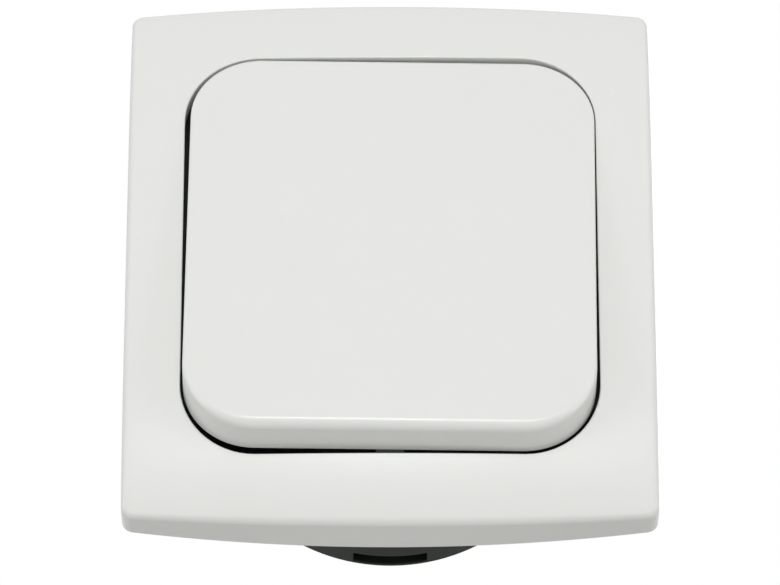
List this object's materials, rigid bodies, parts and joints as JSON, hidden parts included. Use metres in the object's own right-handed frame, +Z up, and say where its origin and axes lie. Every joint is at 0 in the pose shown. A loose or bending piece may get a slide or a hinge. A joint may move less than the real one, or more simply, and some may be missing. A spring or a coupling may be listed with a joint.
{
  "type": "light switch",
  "caption": "Flush-mounted rocker light switch: domed white cover frame, wide flat rocker tilted in it, round dark base behind.",
  "frame": {"origin": "on the wall's face, midway between the two fixing screws, which is the centre of the switch", "axes": "+X to the right, +Y into the wall, +Z up, seen from the room"},
  "size_m": [0.08, 0.0584, 0.0918],
  "materials": {
    "white_gloss": "glossy moulded",
    "dark_moulding": "moulded thermoset, satin",
    "light_moulding": "moulded, natural",
    "zinc_steel": "zinc plated",
    "black_steel": "black passivated, matt",
    "brass": "stamped, bare",
    "silver": "silver contact"
  },
  "bodies": {
    "housing": {"cover_frame": "white_gloss", "mechanism_cover": "dark_moulding", "support_bracket": "black_steel", "mechanism_base": "dark_moulding", "bracket_screws": "zinc_steel", "line_strip": "brass", "load_strip": "brass", "line_tip": "silver", "line_clamp": "zinc_steel", "load_clamp": "zinc_steel", "line_screw": "zinc_steel", "load_screw": "zinc_steel"},
    "rocker_unit": {"rocker": "white_gloss", "rocker_carrier": "light_moulding", "plunger_spring": "zinc_steel"},
    "plunger_pin": {"plunger": "light_moulding"},
    "lever": {"contact_lever": "brass", "lever_tip": "silver"},
    "left_claw": {"claw_left": "zinc_steel", "claw_screw_left": "zinc_steel"},
    "right_claw": {"claw_right": "zinc_steel", "claw_screw_right": "zinc_steel"}
  },
  "joints": [
    {"name": "rocker_tilt", "type": "hinge", "parent": "housing", "child": "rocker_unit", "pos_m": [0, -0.0043, 0], "axis": [1, 0, 0], "range_deg": [0, 10]},
    {"name": "lever_rock", "type": "hinge", "parent": "housing", "child": "lever", "pos_m": [0, 0.0112, 0], "axis": [1, 0, 0], "range_deg": [-13, 0]},
    {"name": "plunger_slide", "type": "slide", "parent": "rocker_unit", "child": "plunger_pin", "axis": [0, -0.9962, 0.0872], "range_m": [0, 0.0008], "stiffness_N_per_m": 400, "deforming": ["plunger_spring"]},
    {"name": "claw_left_swing", "type": "hinge", "parent": "housing", "child": "left_claw", "pos_m": [-0.0225, -0.00165, 0], "axis": [0, 0, 1], "range_deg": [0, 10]},
    {"name": "claw_right_swing", "type": "hinge", "parent": "housing", "child": "right_claw", "pos_m": [0.0225, -0.00165, 0], "axis": [0, 0, -1], "range_deg": [0, 10]}
  ],
  "couplings": [
    {"joint": "lever_rock", "follows": "rocker_tilt", "ratio": -1.3}
  ]
}
